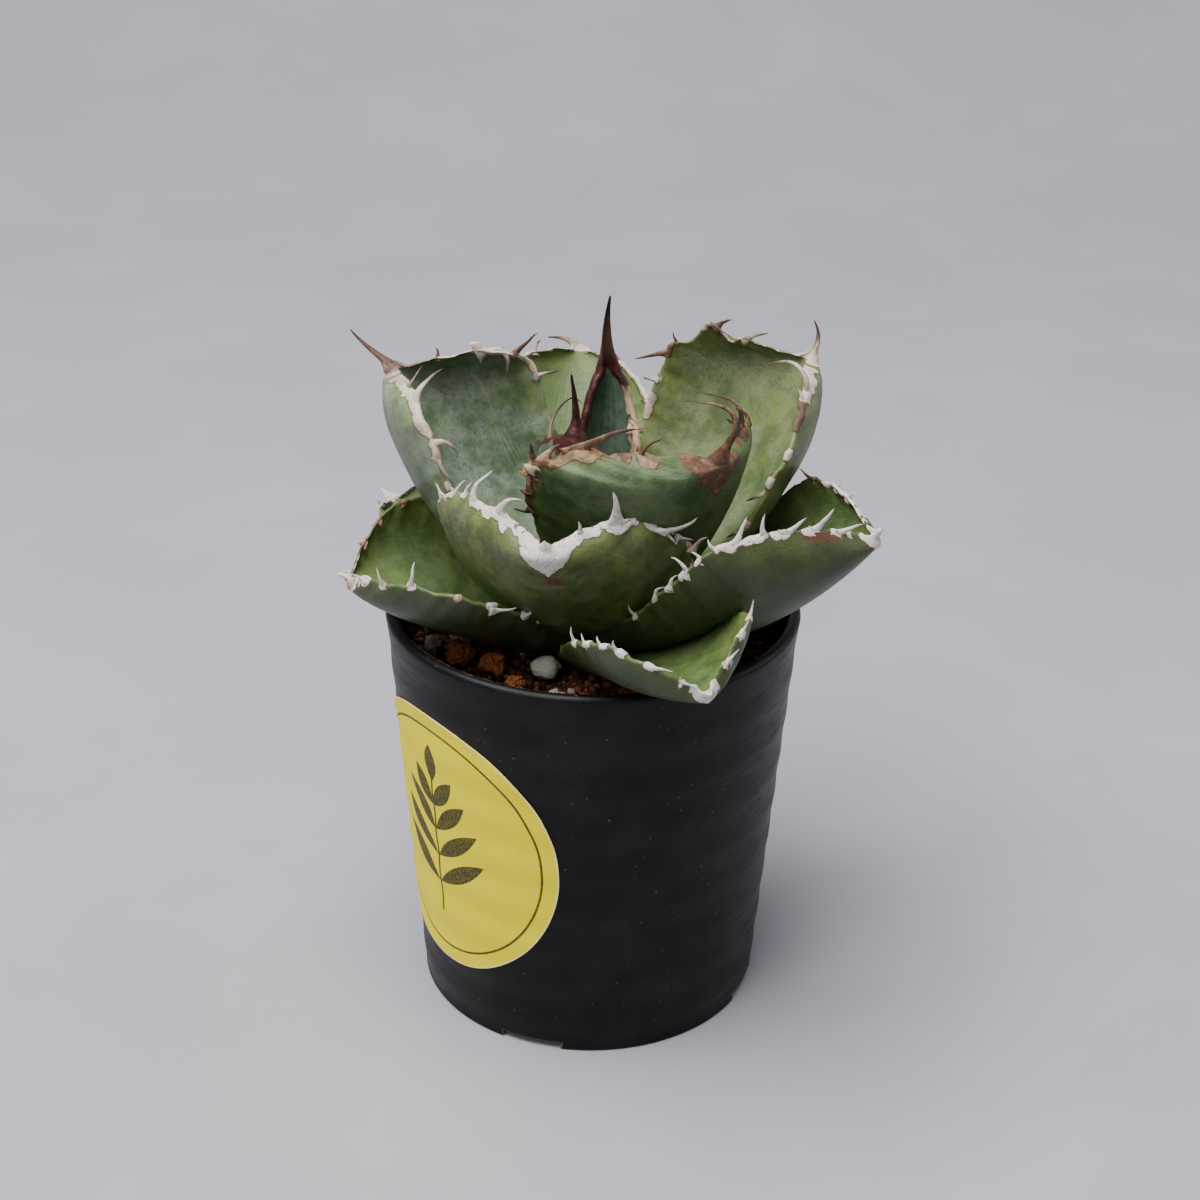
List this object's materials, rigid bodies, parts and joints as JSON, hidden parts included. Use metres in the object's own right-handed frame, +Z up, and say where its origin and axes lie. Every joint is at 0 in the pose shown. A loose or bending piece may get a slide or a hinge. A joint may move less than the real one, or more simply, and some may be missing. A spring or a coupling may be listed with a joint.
{
  "type": "potted agave",
  "caption": "Succulent rosette of broad cupped leaves with toothed horny margins and long end spines, growing in a round tapered nursery pot with potting mix.",
  "frame": {"origin": "on the surface the pot stands on, below the middle of the whole plant's footprint; the pot's own axis is 2.7 mm to the left of it and 2.9 mm in front", "axes": "+Z up along the pot's axis; -Y is the side with the front leaf and the sticker turned to the front left; +X to the right"},
  "size_m": [0.1304, 0.1388, 0.1838],
  "materials": {
    "pot": "satin",
    "label": "matte",
    "soil": "matte",
    "akadama": "matte",
    "pumice": "matte",
    "perlite": "matte",
    "stem": "matte",
    "leaf": "satin"
  },
  "bodies": {
    "root": {"akadama_1": "akadama", "akadama_2": "akadama", "akadama_3": "akadama", "akadama_4": "akadama", "akadama_5": "akadama", "akadama_6": "akadama", "akadama_7": "akadama", "bud": "leaf", "label": "label", "leaf_back": "leaf", "leaf_back_low_left": "leaf", "leaf_back_low_right": "leaf", "leaf_bud_front": "leaf", "leaf_centre": "leaf", "leaf_front": "leaf", "leaf_front_low": "leaf", "leaf_inner_front": "leaf", "leaf_left_high": "leaf", "leaf_left_low": "leaf", "leaf_right_high": "leaf", "leaf_right_low": "leaf", "perlite_1": "perlite", "pot": "pot", "pumice_1": "pumice", "pumice_2": "pumice", "pumice_3": "pumice", "pumice_4": "pumice", "soil": "soil", "stem_and_roots": "stem"}
  },
  "joints": []
}
